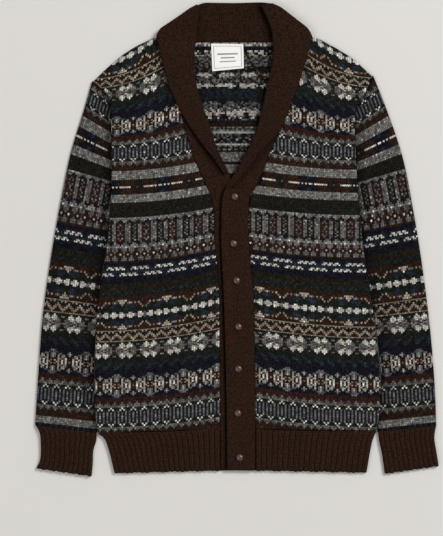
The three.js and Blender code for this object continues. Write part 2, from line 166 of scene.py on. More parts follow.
# Folded sides of the collar, from the V up to the back corner.
# Columns: seam x, y, fold x, y, outer edge x, y, underside z
COLLAR = {
    "right": [
        (-57, 100, -13, 106, -19, 103, 3.3),
        (-70, 129, -23, 127, -37, 129, 3.3),
        (-81, 161, -34, 151, -58, 155, 3.3),
        (-89, 193, -46, 189, -81, 188, 3.3),
        (-94, 221, -56, 216, -97, 216, 3.6),
        (-107, 259, -66, 249, -113, 252, 4.2),
        (-117, 292, -70, 278, -122, 285, 5.2),
        (-126, 314, -70, 303, -129, 312, 6.2),
        (-133, 330, -68, 324, -133, 332, 6.6),
        (-127, 344, -66.5, 338, -127, 345, 6.6),
        (-114, 353, -66, 349, -114, 354, 6.6),
        (-94, 367, -65, 361, -94, 367.5, 6.6),
        (-78, 378, -62, 373, -78, 379, 6.6),
        (-68, 384, -58, 381, -67, 385, 6.6),
    ],
    "left": [
        (29, 82.7, -20, 82.9, -12, 82.8, 6.6),
        (44, 115, 0, 115, 21, 119, 6.0),
        (52, 138, 10, 135, 39, 144, 4.6),
        (65, 165, 23, 158, 60, 165, 3.6),
        (74, 189, 33, 183, 76, 188, 3.3),
        (81, 216, 39, 209, 85, 212, 3.6),
        (97, 259, 50, 257, 103, 259, 4.2),
        (108, 292, 56, 285, 113, 292, 5.2),
        (117, 314, 59, 306, 119, 315, 6.2),
        (124, 331, 58, 324, 122, 334, 6.6),
        (118, 344, 57, 336, 115, 347, 6.6),
        (105, 354, 54, 348, 105, 355, 6.6),
        (87, 368, 49, 361, 87, 369, 6.6),
        (70, 380, 43, 374, 71, 381, 6.6),
        (58, 386.5, 38, 383, 58, 387, 6.6),
    ],
}
# Collar behind the neck, right to left. Columns: x, stand's seam y, fold y
COLLAR_BACK = [
    (-117, 327, 347),
    (-101, 325, 359),
    (-84, 324, 373.5),
    (-66, 323.5, 385),
    (-51, 323.5, 389),
    (-5, 323.5, 388.5),
    (38, 323.5, 389.5),
    (56, 323.5, 387.8),
    (74, 325, 378),
    (94, 326, 359),
    (110, 328, 347),
]
# Under band, V to hem. Columns: seam x, y, free edge x, y
BAND_UNDER = [
    (-57, 99.7, -13, 105.6),
    (-45, 74, 1, 64),
    (-39, 44, 5, 44),
    (-38, 0, 6, 4),
    (-34, -35, 10, -35),
    (-30, -90, 14, -90),
    (-29, -184, 15, -184),
    (-28, -312, 16, -312),
    (-28, -380, 16, -380.5),
]
# Top band, V to hem. Columns: free edge x, y, seam x, y
BAND_TOP = [
    (-20, 82.6, 28.7, 82.5),
    (-25, 67, 20.5, 67),
    (-26.5, 46, 19, 46),
    (-27, 4, 19, 4),
    (-26, -27, 21, -27),
    (-23, -90, 27, -90),
    (-20, -184, 29, -184),
    (-18, -284, 30, -284),
    (-17, -381, 30, -382),
]
# Button centres. Columns: x, y
BUTTONS = [(-4, 69), (-6, -8), (-1, -69), (2, -145), (2, -214), (1, -287), (4, -360)]
LABEL = [(-43, 321.5), (10, 320.5), (11, 281), (-41, 276)]
# Soft troughs. Columns: from x, y, to x, y, half width, depth
TROUGHS = [
    (-205, 120, -120, 60, 16, 1.2),
    (-200, -40, -110, -90, 20, 1.0),
    (-215, -210, -120, -250, 18, 0.9),
    (190, 130, 110, 70, 16, 1.2),
    (205, -60, 120, -100, 20, 1.0),
    (225, -220, 130, -255, 18, 0.9),
    (-292, 30, -235, -10, 14, 1.2),
    (-310, -120, -250, -160, 16, 1.0),
    (290, 40, 232, -5, 14, 1.2),
    (312, -130, 250, -170, 16, 1.0),
]
# Droop of the colour rows from the front edge to the side.
# Columns: y at the edge, right droop, left droop
DROOP = [
    (-330, 16, 16),
    (-300, 17, 17),
    (-190, 20, 15),
    (-100, 25, 17),
    (0, 20, 14),
    (70, 16, 12),
    (140, 14, 12),
    (200, 24, 22),
    (270, 36, 34),
    (330, 46, 44),
]
# Sleeve: where a row of the body's pattern runs.
# Columns: pattern y on the front edge, y on the sleeve's outer edge
SLEEVE_ROWS = [
    (-345, -334),
    (-325, -306),
    (-311, -292),
    (-300, -278),
    (-251, -227),
    (-210, -185),
    (-156, -128),
    (-103, -67),
    (-57, -19),
    (-30, 12),
    (0, 52),
    (41, 105),
    (72, 136),
    (108, 181),
    (133, 212),
    (166, 240),
    (190, 262),
    (225, 290),
]
# Fall of a sleeve's rows towards the body, in degrees. Columns: y on the outer edge, angle
SLEEVE_TILT = [
    (-310, 7),
    (-250, 5),
    (-126, 6),
    (-73, 9),
    (6, 10),
    (105, 14),
    (188, 29),
    (265, 38),
]

# Yarns, in sRGB steps of 255
YARN = {
    "K": (28, 26, 21),
    "B": (42, 27, 20),
    "R": (46, 26, 22),
    "N": (20, 20, 27),
    "T": (31, 38, 46),
    "G": (25, 28, 24),
    "g": (86, 85, 82),
    "h": (104, 102, 97),
    "w": (184, 179, 170),
    "c": (146, 139, 127),
    "b": (128, 116, 102),
    "v": (84, 84, 89),
    "o": (128, 108, 90),
}
# How much a yarn varies from stitch to stitch, where it isn't the usual amount
SPREAD = {"h": 0.42, "g": 0.4, "v": 0.35, "w": 0.24}
USUAL_SPREAD = 0.3
# Lightness of the yarns: everywhere, then also on the sleeves and inside the back
TONE = 1.17
SLEEVE_TONE = 0.86
FLOAT_TONE = 0.56

# Colour work: a string for each knitted row from the lower one up,
# with a letter for each stitch of the repeat
PEAKS_DOWN = ["gBBB", "ggBg", "gggg"]
PEAKS_UP = ["gggg", "ggRg", "gRRR"]
LADDER_HALF = [
    "wGGGGG",
    "GwGGGw",
    "GGvGvG",
    "vGvGvG",
    "vGvGvG",
    "hGvGvG",
]
LADDER = LADDER_HALF + LADDER_HALF[::-1]
OVAL_HALF = [
    "NNNNNNNNvvvNNNNNNN",
    "vNNNNNNvgvgvNNNNNN",
    "cvNNNggNvcvNggNNNv",
    "cNNcgNcNgcgNcNgcNN",
    "NNgccNcNgcgNcNccgN",
    "RRcgNccRNNNRccNgcR",
    "RRwgwRcRoRoRcRwgwR",
]
OVALS = OVAL_HALF + ["oRwRwRccRRRccRwRwR"] + OVAL_HALF[::-1]
TEAL = ["NNNTTN", "NNTTTN", "GTTTGG", "TTGGGG"]
BLOCK_HALF = [
    "GGGGwGGGwGGGG",
    "gGGwwcGwwwGGg",
    "GGgwwwcwwwgGG",
    "BgggcwggwcggB",
    "BgggBgcgBgggB",
    "ggggggBgggggg",
]
BLOCKS = BLOCK_HALF + BLOCK_HALF[-2::-1]
TRELLIS = ["bBBBBB", "bbBBBb", "BbbBbb", "KKbbbK", "KKKbKK", "KbKKKb"]
# Half of the broad band around the chain, from the chain outwards
WINGS = [
    "GGGGGGGGGGGGGGGGGGGGGGGG",
    "GGGGGGGTTTGGGGGTTTGGGGGG",
    "GbGGGGTTTTTGGGTTTTTGGGGb",
    "BBbBBBBTTTBBcBBTTTBBBBbB",
    "BBBbBbBgcgBcccBgcgBbBbBB",
    "BBBBBBBBBBcccccBBBBBBBBB",
]
CHAIN_EDGE = "vGwwGGGwwGGGwwGGwwGGwwGG"
CHAIN_MIDDLE = "vwwwvvwwwwvwwwvwwwwvwwwh"
CHAIN = [CHAIN_EDGE, CHAIN_MIDDLE, CHAIN_MIDDLE, CHAIN_EDGE]
SMUDGES = [
    "BBBBBB",
    "BKBBBK",
    "KGKKGG",
    "GTGGTG",
    "GGTGGG",
    "KKGKKG",
    "BKKKBK",
    "KBKKKB",
    "KKKKKK",
]
WAVES = [
    "NNTTTNNNTTTNN",
    "wwTwwTwwTwNTT",
    "TwwTwcTwwTNNT",
    "TTTTTTTTTTTTT",
    "TTNTTTTTTNTTT",
    "wwTwNTNwwTwwT",
    "TwwTNNTTwwTwc",
    "NNTTNNNTTNNNN",
]
FLOWER_HALF = ["gggBgggBB", "gggBgggBB", "BgBBBgBBB"]
FLOWERS = FLOWER_HALF + ["BBBcBBBwB"] + FLOWER_HALF[::-1]
CHECK_FOOT = ["hhhwh", "hNhhh", "NNNgg"]
CHECK_HEAD = ["NNNgg", "hNhhh", "hhhhh"]
CHECK_HALF = [
    "gNgNRRRNgNKKKK",
    "hhgBRgRBghKgGK",
    "hggRgBgRggKKgK",
    "ghgBRRRBhgKgKK",
    "hggRgBgRghKKgK",
    "hggBRgRBggKgKK",
]
CHECKS = CHECK_HALF + CHECK_HALF[::-1]
DASH_OUTER = "BBBBBNNNNNTTNNNNBBBBBBKKKBBB"
DASH_INNER = "BBBBBBBNNNNNNNBBBBBBBKKKKKBB"
DASH_MIDDLE = "wwwwwwBwBwBwwBwwwwwwwBBBgBBB"
DASH_HALF = [DASH_OUTER, DASH_OUTER, DASH_INNER, DASH_INNER]
DASHES = DASH_HALF + [DASH_MIDDLE] + DASH_HALF[::-1]

# Bands from the hem up at the front edge. Columns: rows, height
BANDS = [
    (PEAKS_DOWN, 7.9),
    (LADDER, 33.0),
    (PEAKS_UP, 9.1),
    (["R", "B", "R"], 7.5),
    (OVALS, 39.6),
    (["N"] * 3, 7.4),
    (TEAL, 11.0),
    (["G"] * 3, 8.1),
    (BLOCKS, 28.0),
    (["G", "b"], 3.2),
    (TRELLIS, 16.4),
    (["b", "B"], 3.2),
    (WINGS[::-1], 19.8),
    (CHAIN, 9.9),
    (WINGS, 19.8),
    (SMUDGES, 25.6),
    (["N"] * 3, 9.2),
    (WAVES, 19.2),
    (["N", "N", "B"], 7.0),
    (FLOWERS, 20.4),
    (CHECK_FOOT, 8.3),
    (CHECKS, 31.3),
    (CHECK_HEAD, 7.8),
    (["K"] * 9, 23.6),
    (["h"] * 5, 12.7),
    (DASHES, 23.8),
    (["h"] * 5, 14.2),
    (["B"] * 3, 7.4),
]
BAND_START = -300.8
# Rows under the first band, from it down, for the body and for the sleeves
BODY_FOOT = ["B"]
SLEEVE_FOOT = ["B"] * 3 + ["h"] * 4 + ["NTNNTN"]
FOOT_ROWS = 10

# Inside of the back, where the resting yarns lie on the pattern, from the neck down.
# Columns: rows, height
INSIDE = [
    (["wwvwwwwvww", "wwwwvwwwwv", "vwvwwvwvww"], 8.2),
    (["TTTKNT", "TNTTTK", "NKTNNK"], 9.0),
    (["wwwKwwKwwwKK", "KgwwKBwwwKgB", "wcKwwcKKwwcK"], 9.4),
    (["ggKgBgKg", "KghgKBgh", "gBgKghgB", "hgKggBKg", "gKghBggK", "KgBgKghK"], 17.0),
    (["KgKKGKgK", "gKKgKKGK", "KKgKBKKg"], 8.0),
    (["gwwwgKggKgww", "wwcwwgKBgwwc", "hwwghgBKBghw"], 8.2),
    (["KBghBKgBKgBg", "gKBBgKhgBKBg", "BgKgBghKgBgK", "gBghKBgKgBgK"], 10.6),
    (["KwwwwgKGwwwg", "wwcwwwGwwwcw", "GKwwgKKGgwwK"], 9.6),
    (["GKGTTGGKGTTG", "TTKTGGTKTTTG", "TKTTTGGTTKTT", "KTTTKTGGTTKT"], 10.8),
    (["TGTTTGGTTTGT", "GGTTGGGGTTGG", "GTGGKGTGGGKG"], 8.4),
    (["NvNgvNKvNgNK", "vgvNgvgNvvNg", "gNvvgNhvNgvN", "NgvNNvghvNNg"], 11.0),
    (["vNgvwNvgNvwg", "gwNvgwgNwgvN"], 6.0),
    (["wcwBRwwcwBBc", "BwwcwBcwwwRB"], 6.4),
    (["NNvwvNNNvgvN", "NvwwgNNvwvNN", "gNvNgNBNvNgN"], 9.0),
    (["NKNBNNKNBNKN", "BKBKBBKBKBBK", "KBKKBKKBKKBK"], 10.0),
    (["hghghghghgKh", "KgKBgKgKBgKg", "hhghhghhghhg"], 8.4),
    (["wwwwwcwwwwcw"], 2.8),
    (["gKhgKghKgKhK", "NvNGvKNvGNvK", "vKGvNvGKvNGv", "GwvGNGwvGKNG"], 11.0),
    (["NGvNGKvGNGvK", "KgKvKgKNKgKv"], 6.0),
    (["wwwcwwwwcwww"], 2.8),
    (["gKhgKhgKghKg", "KBKgKBKKgKBK", "hKghKhgKhgKh", "KBKKBKKBKBKK"], 11.4),
    (["h"] * 6, 16.5),
]
INSIDE_TOP = 326.5


def pattern_rows(low, high, foot):
    """Rows of the pattern that cover a stretch, as pairs of a height at the front edge and letters."""
    found = []
    for k in reversed(range(FOOT_ROWS)):
        found.append((BAND_START - ROW * (k + 1), foot[min(k, len(foot) - 1)]))
    y = BAND_START
    while y < high:
        for rows, height in BANDS:
            for k, letters in enumerate(rows):
                found.append((y + height * k / len(rows), letters))
            y += height
    return [r for r in found if low - ROW < r[0] < high + ROW]


# Shape functions, all on numpy arrays in mm
def spline(points, steps=12):
    """A smooth line through points: an array of x and y."""
    p = np.array(points, float)
    p = np.vstack([2 * p[0] - p[1], p, 2 * p[-1] - p[-2]])
    out = []
    for i in range(1, len(p) - 2):
        a, b, c, d = p[i - 1 : i + 3]
        t1 = math.sqrt(np.hypot(*(b - a)))
        t2 = t1 + math.sqrt(np.hypot(*(c - b)))
        t3 = t2 + math.sqrt(np.hypot(*(d - c)))
        for t in np.linspace(t1, t2, steps, endpoint=False):
            ab = a + (b - a) * t / t1
            bc = b + (c - b) * (t - t1) / (t2 - t1)
            cd = c + (d - c) * (t - t2) / (t3 - t2)
            abc = ab + (bc - ab) * t / t2
            bcd = bc + (cd - bc) * (t - t1) / (t3 - t1)
            out.append(abc + (bcd - abc) * (t - t1) / (t2 - t1))
    return np.array(out + [p[-2]])


def columns(table, a, b):
    return [(r[a], r[b]) for r in table]


def read_off(table, column, at):
    """Values of a table's column, also between its rows, for values of its first column."""
    return np.interp(at, [r[0] for r in table], [r[column] for r in table])


def across_at(table, a, b):
    """x of a climbing line at a height."""
    line = spline(columns(table, a, b))
    line = line[np.argsort(line[:, 1])]
    return lambda y: np.interp(y, line[:, 1], line[:, 0])


def height_at(points):
    """y of a line that runs across at an x."""
    line = spline(points)
    line = line[np.argsort(line[:, 0])]
    return lambda x: np.interp(x, line[:, 0], line[:, 1])


def smooth(v):
    u = np.clip(v, 0, 1)
    return u * u * (3 - 2 * u)


def ease(v, start, over):
    """A soft step from 0 to 1, from a start and over a length."""
    return smooth((v - start) / over)


def away_from(start, end, x, y):
    """Distance of points from a straight line between two ends."""
    dx, dy = end[0] - start[0], end[1] - start[1]
    share = np.clip(((x - start[0]) * dx + (y - start[1]) * dy) / (dx * dx + dy * dy), 0, 1)
    return np.hypot(x - start[0] - share * dx, y - start[1] - share * dy)


def troughs(x, y):
    """Depth of the soft troughs at points."""
    total = np.zeros_like(x)
    for x0, y0, x1, y1, half, depth in TROUGHS:
        total += depth * np.exp(-((away_from((x0, y0), (x1, y1), x, y) / half) ** 2))
    return total


def shade_by(points, x, y, reach, depth):
    """Shade in the corner along a line of cloth."""
    away = np.minimum.reduce([away_from(a, b, x, y) for a, b in zip(points, points[1:])])
    return dark_beside(away, reach, depth)


def rise(x, y, inside):
    """How much loose cloth stands off the layer below it."""
    return smooth(inside / RAMP) * np.maximum(LEAST_RISE, LIFT - troughs(x, y))


def rounded(inside, radius=EDGE_ROUND):
    """Drop of a surface next to its edge."""
    return -radius * EDGE_DROP * (1 - np.clip(inside / radius, 0, 1)) ** 2


def quarter_round(inside, radius):
    """Share of the full height next to a folded side, round like a quarter of a circle."""
    return np.sqrt(np.clip(1 - (1 - np.clip(inside / radius, 0, 1)) ** 2, 0, 1))


def between(first, second, share):
    return first + (second - first) * share


def dark_beside(away, reach, depth):
    """Shade at a distance from a corner: 1 away from it, darker beside it."""
    return 1 - depth * np.exp(-((away / reach) ** 2))


# Columns of x and y for each side, in the tables that have both
COL = {"right": (0, 1), "left": (2, 3)}
side_x = {s: across_at(SIDE, *COL[s]) for s in COL}
edge_x = {s: across_at(EDGE, *COL[s]) for s in COL}
shoulder_y = {s: height_at(columns(SHOULDER, *COL[s])) for s in COL}
hem_top_y = height_at(BODY_END)
neck_y = height_at(columns(SHOULDER, 0, 1) + NECK + columns(SHOULDER, 2, 3)[::-1])


def linear(v):
    """Linear light from sRGB steps of 255."""
    c = np.array(v, float) / 255
    return np.where(c <= 0.04045, c / 12.92, ((c + 0.055) / 1.055) ** 2.4)


YARN_LINEAR = {k: linear(v) * TONE for k, v in YARN.items()}


def heather(letter, rng, tone=1.0):
    """A stitch's colour: the colour of its wool, a little lighter or darker from stitch to stitch."""
    base = YARN_LINEAR[letter] * tone
    shade = math.exp(rng.gauss(0, SPREAD.get(letter, USUAL_SPREAD)))
    return tuple(float(min(1, c * shade)) for c in base) + (1.0,)


def grid(m, n):
    """A plain bmesh grid of m by n cells, with each vertex's column and row."""
    bm = bmesh.new()
    bmesh.ops.create_grid(bm, x_segments=m, y_segments=n, size=1.0)
    bm.verts.ensure_lookup_table()
    ij = np.array([((v.co.x + 1) / 2 * m, (v.co.y + 1) / 2 * n) for v in bm.verts])
    ij = np.rint(ij).astype(int)
    cells = []
    for f in bm.faces:
        k = [v.index for v in f.verts]
        cells.append((int(ij[k, 0].min()), int(ij[k, 1].min())))
    return bm, ij, cells


def place(bm, x, y, z):
    """Puts the vertices where they belong, from mm."""
    for v, a, b, c in zip(bm.verts, x, y, z):
        v.co = (a * MM, b * MM, c * MM)


# Colour of a piece whose wool colour comes from its material, and of the cut edges: the knit's in its
# dark ground wool, the brown pieces' as a painted shade that darkens their sides
PLAIN = (1.0, 1.0, 1.0, 1.0)
KNIT_RIM = (0.012, 0.010, 0.008, 1.0)
BROWN_EDGE_SHADE = (0.55, 0.55, 0.55, 1.0)


def face_data(bm, ij, cells, colour=None, step=(0.5, 1.0), start=0.0, shade=None):
    """Writes each corner's place in stitches and rows, and its wool colour darkened by a painted
    shade.
    """
    uv = bm.loops.layers.uv.new("stitch")
    yarn_and_shade = bm.loops.layers.float_color.new("yarn_and_shade")
    for f, cell in zip(bm.faces, cells):
        c = colour(*cell) if colour else PLAIN
        for loop in f.loops:
            k = loop.vert.index
            i, j = ij[k]
            dim = 1.0 if shade is None else float(shade[k])
            loop[uv].uv = (start + i * step[0], j * step[1])
            loop[yarn_and_shade] = (c[0] * dim, c[1] * dim, c[2] * dim, 1.0)


def tint_faces(bm, faces, colour):
    yarn_and_shade = bm.loops.layers.float_color["yarn_and_shade"]
    for f in faces:
        for loop in f.loops:
            loop[yarn_and_shade] = colour


def weld(bm):
    bmesh.ops.remove_doubles(bm, verts=bm.verts, dist=WELD)


def drop_thin(bm):
    """Deletes the faces that clipping at an outline has squeezed to nothing."""
    thin = [f for f in bm.faces if f.calc_area() < SLIVER]
    bmesh.ops.delete(bm, geom=thin, context="FACES")
    loose = [v for v in bm.verts if not v.link_faces]
    bmesh.ops.delete(bm, geom=loose, context="VERTS")
    weld(bm)


def open_edges(bm):
    """The edges of the openings, made sharp."""
    edges = [e for e in bm.edges if e.is_boundary]
    for e in edges:
        e.smooth = False
    return edges


def rim(bm, depth_to, colour=KNIT_RIM):
    """Turns the open edge of a top sheet down to a height."""
    made = bmesh.ops.extrude_edge_only(bm, edges=open_edges(bm))["geom"]
    for v in made:
        if isinstance(v, bmesh.types.BMVert):
            v.co.z = min(v.co.z, depth_to * MM)
    tint_faces(bm, [f for f in made if isinstance(f, bmesh.types.BMFace)], colour)


def close(bm, colour=KNIT_RIM):
    """Fills what is still open, with sharp edges around it, and turns every face outwards."""
    tint_faces(bm, bmesh.ops.holes_fill(bm, edges=open_edges(bm), sides=0)["faces"], colour)
    bmesh.ops.recalc_face_normals(bm, faces=bm.faces)


def join(bm, under):
    """Adds an underside, turned to face down, and closes the seam between the two."""
    bmesh.ops.reverse_faces(under, faces=under.faces)
    mesh = bpy.data.meshes.new("under")
    under.to_mesh(mesh)
    under.free()
    bm.from_mesh(mesh)
    bpy.data.meshes.remove(mesh)
    weld(bm)


def backed(bm, depth):
    """Gives a top sheet its rim and a flat underside of the same cells."""
    under = bm.copy()
    for v in under.verts:
        v.co.z = depth * MM
    rim(bm, depth)
    join(bm, under)
    bmesh.ops.recalc_face_normals(bm, faces=bm.faces)


def finish_mesh(bm, name, mat, flip=False):
    """Makes the piece that is seen, in the place of the solid of the same name."""
    if flip:
        bmesh.ops.reverse_faces(bm, faces=bm.faces)
    for f in bm.faces:
        f.smooth = True
    mesh = bpy.data.meshes.new(name)
    bm.to_mesh(mesh)
    bm.free()
    mesh.materials.append(mat)
    ob = bpy.data.objects.new(name + "_seen", mesh)
    bpy.context.scene.collection.objects.link(ob)
    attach(ob, "root")
    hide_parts(name)


# Materials
def material(name):
    mat = bpy.data.materials.new(name)
    mat.use_nodes = True
    return mat


def plug(mat, node, inputs):
    """Gives a node's inputs their values, or links them to another node's output."""
    for key, value in inputs.items():
        if hasattr(value, "links"):
            mat.node_tree.links.new(value, node.inputs[key])
        else:
            node.inputs[key].default_value = value


def add(mat, kind, inputs, output=0, **settings):
    """Output of a new node."""
    node = mat.node_tree.nodes.new("ShaderNode" + kind)
    for name, value in settings.items():
        setattr(node, name, value)
    plug(mat, node, inputs)
    return node.outputs[output]


def surface(mat, inputs):
    plug(mat, mat.node_tree.nodes["Principled BSDF"], inputs)


def maths(mat, kind, a, b=0.5):
    return add(mat, "Math", {0: a, 1: b}, operation=kind)


def stitch_map(mat):
    """The two directions of a piece's own map: in stitches and rows, or shares of the label."""
    split = add(mat, "SeparateXYZ", {0: add(mat, "UVMap", {}, uv_map="stitch")}).node
    return split.outputs[0], split.outputs[1]


def own_space(mat):
    return add(mat, "TexCoord", {}, "Object")


def mixed(mat, share, first, second):
    inputs = {"Factor": share, 6: (*first, 1), 7: (*second, 1)}
    return add(mat, "Mix", inputs, 2, data_type="RGBA")


def humps(mat, value, turn):
    """A row of equal humps between 0 and 1, by the sine of a value."""
    return maths(mat, "ABSOLUTE", maths(mat, "SINE", maths(mat, "MULTIPLY", value, turn)))


def yarn_relief(mat):
    """Height of knitted legs from the stitch map: 0 between stitches, 1 on top of a leg."""
    across, up = stitch_map(mat)
    stitch = maths(mat, "POWER", humps(mat, across, math.pi), 0.5)
    leg = maths(mat, "POWER", humps(mat, across, 2 * math.pi), 0.4)
    row = maths(mat, "POWER", humps(mat, up, math.pi), 0.6)
    return across, maths(mat, "MULTIPLY", maths(mat, "MULTIPLY", stitch, leg), row)


def noise(mat, scale, detail, low, high):
    """Noise in the object's own space, spread between two values."""
    fine = {"Vector": own_space(mat), "Scale": scale, "Detail": detail}
    raw = add(mat, "TexNoise", fine, "Fac")
    spread = {"Value": raw, "From Min": 0.3, "From Max": 0.7, "To Min": low, "To Max": high}
    return add(mat, "MapRange", spread)


# Grain of the wool, in waves to the metre
FUZZ_SCALE = 1400.0
FLECK_SCALE = 430.0
PLY_SCALE = 380.0


def wool(name, hues=None, relief=0.9, grain=(0.75, 1.3), rib=False):
    """Knitted wool in the colours of the mesh, stitch colours with painted shade, or in two hues spun
    together and darkened by the painted shade the mesh holds.
    """
    mat = material(name)
    across, height = yarn_relief(mat)
    fuzz = noise(mat, FUZZ_SCALE, 3.0, 0.7, 1.32)
    fleck = noise(mat, FLECK_SCALE, 2.0, *grain)
    # Painted shade down between the legs of each stitch, and painted light on top of each leg
    leg_shade = add(mat, "MapRange", {"Value": height, "To Min": 0.22, "To Max": 1.5})
    shade = maths(mat, "MULTIPLY", maths(mat, "MULTIPLY", fuzz, leg_shade), fleck)
    if rib:
        # Painted shade in the valleys between the ribs and painted light on their ridges; the ribs are
        # two stitches apart
        valley = {"Value": humps(mat, across, math.pi / 2), "From Max": 0.75}
        valley.update({"To Min": 0.6, "To Max": 1.1})
        shade = maths(mat, "MULTIPLY", shade, add(mat, "MapRange", valley))
    # The mesh's colours: stitch colours with painted shade, or on the brown pieces painted shade alone
    colour = add(mat, "Attribute", {}, "Color", attribute_name="yarn_and_shade")
    if hues is not None:
        spun = mixed(mat, noise(mat, PLY_SCALE, 1.0, 0.0, 1.0), *hues)
        colour = add(mat, "VectorMath", {0: spun, 1: colour}, operation="MULTIPLY")
    tint = add(mat, "VectorMath", {0: colour, "Scale": shade}, operation="SCALE")
    total = maths(mat, "ADD", height, maths(mat, "MULTIPLY", fuzz, 0.5))
    bump = add(mat, "Bump", {"Height": total, "Strength": relief, "Distance": 0.0009})
    surface(mat, {"Base Color": tint, "Roughness": 0.95, "Specular IOR Level": 0.05, "Normal": bump})
    return mat


RED_BROWN = linear((53, 28, 21))
OLIVE_BROWN = linear((38, 31, 21))
knit = wool("patterned_knit")
rib_wool = wool("brown_rib", (RED_BROWN, OLIVE_BROWN), relief=0.8, grain=(0.5, 1.6), rib=True)
band_wool = wool("brown_knit", (RED_BROWN, OLIVE_BROWN), relief=0.7, grain=(0.4, 1.75))


def button_material():
    """Polished brown, a little clouded."""
    mat = material("button")
    clouds = add(mat, "TexNoise", {"Vector": own_space(mat), "Scale": 420.0}, "Fac")
    ramp = add(mat, "ValToRGB", {"Fac": clouds}, "Color")
    dark, light = ramp.node.color_ramp.elements
    dark.color = (0.042, 0.018, 0.014, 1)
    light.color = (0.105, 0.050, 0.041, 1)
    surface(mat, {"Base Color": ramp, "Roughness": 0.28, "Coat Weight": 0.3, "Coat Roughness": 0.15})
    return mat


# A plain woven frame and bars, in shares of the label's sides. Columns: from u, to u, from v, to v
LABEL_MARKS = [
    (0.06, 0.94, 0.90, 0.92),
    (0.06, 0.94, 0.08, 0.10),
    (0.06, 0.08, 0.08, 0.92),
    (0.92, 0.94, 0.08, 0.92),
    (0.18, 0.82, 0.58, 0.64),
    (0.28, 0.72, 0.44, 0.49),
    (0.24, 0.76, 0.30, 0.34),
]


def label_material():
    """White satin with the woven marks in brown."""
    mat = material("label")
    u, v = stitch_map(mat)
    marks = 0.0
    for u0, u1, v0, v1 in LABEL_MARKS:
        box = maths(mat, "GREATER_THAN", u, u0)
        box = maths(mat, "MULTIPLY", box, maths(mat, "LESS_THAN", u, u1))
        box = maths(mat, "MULTIPLY", box, maths(mat, "GREATER_THAN", v, v0))
        box = maths(mat, "MULTIPLY", box, maths(mat, "LESS_THAN", v, v1))
        marks = maths(mat, "MAXIMUM", marks, box)
    colour = mixed(mat, marks, (0.86, 0.85, 0.82), (0.27, 0.23, 0.21))
    weave = add(mat, "TexWave", {"Vector": own_space(mat), "Scale": 900.0}, "Fac")
    bump = add(mat, "Bump", {"Height": weave, "Strength": 0.25, "Distance": 0.0002})
    surface(mat, {"Base Color": colour, "Roughness": 0.7, "Normal": bump})
    return mat


# Fronts: a cell for each leg of each stitch
SIGN = {"right": -1, "left": 1}
FRONT_STRETCH = (-322, 336)
FRONT_START = 14
FRONT_REACH = 246
FRONT_PHASE = {"right": 3, "left": 5}
FRONT_SEED = {"right": 7, "left": 11}
DROOP_COLUMN = {"right": 1, "left": 2}
DROOP_ROUNDS = 3
SHOULDER_SLOPE = 0.85


def levels(rows):
    """Heights of the rows at the front edge, and of the end of the last one."""
    return np.array([r[0] for r in rows] + [rows[-1][0] + ROW])


def stitch_colours(rows, phase, seed, tone=1.0):
    """Colour of a cell by its stitch and row; the cells of a stitch have the same shade."""
    rng = random.Random(seed)
    shades = {}

    def colour(column, row, cells=2):
        key = (column // cells, row)
        if key not in shades:
            letters = rows[row][1]
            shades[key] = heather(letters[(key[0] + phase) % len(letters)], rng, tone)
        return shades[key]

    return colour


def front(side):
    rows = pattern_rows(*FRONT_STRETCH, BODY_FOOT)
    bm, ij, cells = grid(int(2 * FRONT_REACH / STITCH), len(rows))
    i, j = ij[:, 0], ij[:, 1]
    x = SIGN[side] * (FRONT_START + i * STITCH / 2)
    y_edge = levels(rows)[j] - np.where(i % 2 == 1, ROW / 2, 0)
    droop = read_off(DROOP, DROOP_COLUMN[side], y_edge)
    near = np.abs(edge_x[side](y_edge))
    far = np.abs(side_x[side](y_edge))

    def drooped(x):
        share = np.clip((np.abs(x) - near) / (far - near), 0, 1)
        return y_edge - droop * (1 - (1 - share) ** 2)

    y = drooped(x)
    for _ in range(DROOP_ROUNDS):
        a, b = side_x[side](y), edge_x[side](y)
        clipped = np.clip(x, np.minimum(a, b) + PIECE_CLEAR, np.maximum(a, b) - PIECE_CLEAR)
        y = drooped(clipped)
    x = clipped
    top = shoulder_y[side](x)
    y = np.clip(y, hem_top_y(x) + PIECE_CLEAR, top - PIECE_CLEAR)
    inside = np.minimum.reduce([
        np.abs(x - side_x[side](y)),
        np.abs(x - edge_x[side](y)),
        (top - y) * SHOULDER_SLOPE,
    ])
    above = y - hem_top_y(x)
    z = LOWER + rise(x, y, np.minimum(inside, above)) + WALL
    z = z + rounded(np.minimum(inside, above * SEAM_FLAT))
    face_data(bm, ij, cells, stitch_colours(rows, FRONT_PHASE[side], FRONT_SEED[side]))
    place(bm, x, y, z)
    drop_thin(bm)
    backed(bm, LOWER + SINK)
    finish_mesh(bm, "front_" + side, knit)


# Back: a cell for each stitch, resting yarns inside and the pattern outside
BACK_STRETCH = (-322, 340)
BACK_HALF = 240
BACK_DROP = 4
BACK_SEED = 3
FLOAT_STEP = (0.0, 2.0)
FLOAT_START = 0.25
FLOAT_SWAP = 0.22
FLOAT_MOVES = (-2, -1, 1, 2)
FOLD_LEFT = spline(columns(COLLAR["left"], 2, 3), 4)
# Shade beside the collar's left fold: reach in mm, depth as a share
BACK_SHADE = (7.0, 0.6)


def inside_rows(rows):
    """For each row of the pattern, the letters that show inside the back."""
    found = []
    low = INSIDE_TOP
    for letters, height in INSIDE:
        for k, row in enumerate(letters):
            found.append((low - height * k / len(letters), row))
        low -= height
    heights = np.array([r[0] for r in found])
    shown = []
    for y, letters in rows:
        level = y - BACK_DROP
        above = np.nonzero(heights >= level + ROW / 2)[0]
        charted = low < level < INSIDE_TOP and len(above)
        shown.append(found[above[-1]][1] if charted else letters)
    return shown


